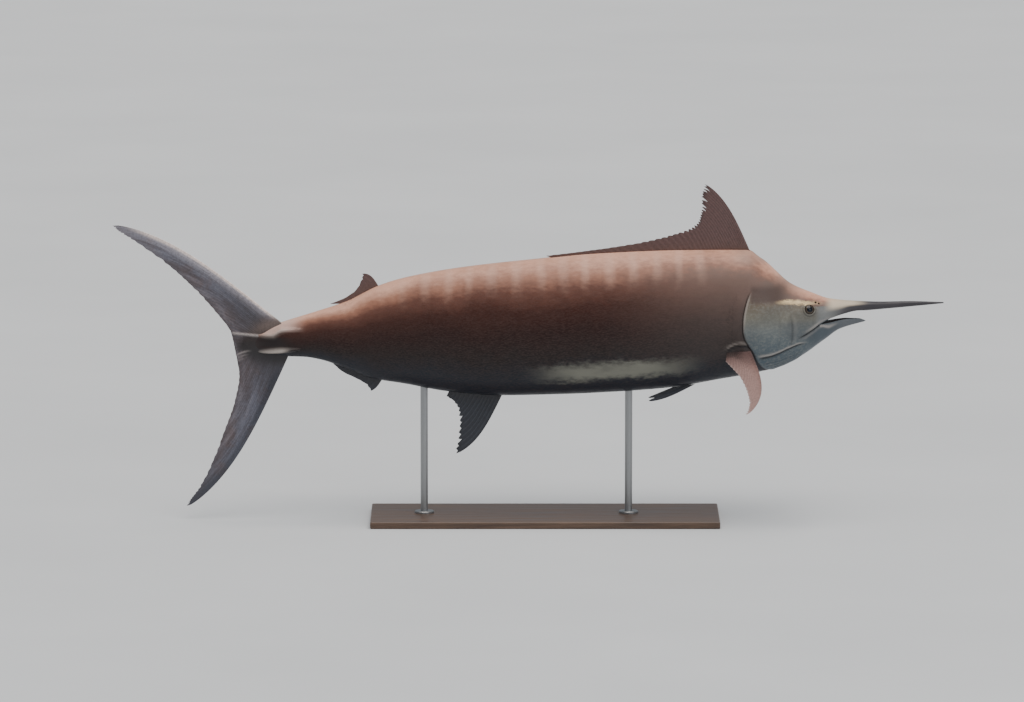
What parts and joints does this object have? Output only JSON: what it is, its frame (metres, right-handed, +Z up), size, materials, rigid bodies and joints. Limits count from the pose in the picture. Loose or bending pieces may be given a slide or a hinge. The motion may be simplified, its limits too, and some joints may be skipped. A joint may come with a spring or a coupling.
{
  "type": "black marlin display model",
  "caption": "Life-size black marlin in a level cruising pose with stiff pectoral fins, held over a flat base by short rods.",
  "frame": {"origin": "centre of the display base's underside, on the floor", "axes": "+X towards the bill along the fish's length, +Z up, the fish's right side at -Y"},
  "size_m": [3.57, 1.1748, 1.457],
  "materials": {
    "body_skin": "satin fish skin, maroon brown over blue-black",
    "head_skin": "satin silver-grey skin",
    "bill_skin": "fine rough brown-grey skin",
    "eye": "wet and dark",
    "dorsal_fins": "dark brown fin membrane",
    "lower_fins": "blue-black fin membrane",
    "pectoral_fins": "pinkish grey with a pale edge",
    "tail_fin": "blue-grey mottled with brown",
    "stand_base": "painted dark grey board, satin",
    "stand_rods": "brushed"
  },
  "bodies": {
    "root": {"head": "head_skin", "bill": "bill_skin", "lower_jaw": "bill_skin", "gill_cover_left": "head_skin", "gill_cover_right": "head_skin", "eye_left": "eye", "eye_right": "eye", "torso_front": "body_skin", "torso_middle": "body_skin", "torso_rear": "body_skin", "tail_stalk": "body_skin", "dorsal_fin_first": "dorsal_fins", "dorsal_fin_second": "dorsal_fins", "anal_fin_first": "lower_fins", "anal_fin_second": "lower_fins", "pectoral_fin_left": "pectoral_fins", "pectoral_fin_right": "pectoral_fins", "pelvic_fin_left": "lower_fins", "pelvic_fin_right": "lower_fins", "tail_fin_upper": "tail_fin", "tail_fin_lower": "tail_fin", "stand_base": "stand_base", "stand_rod_front": "stand_rods", "stand_rod_rear": "stand_rods"}
  },
  "joints": []
}
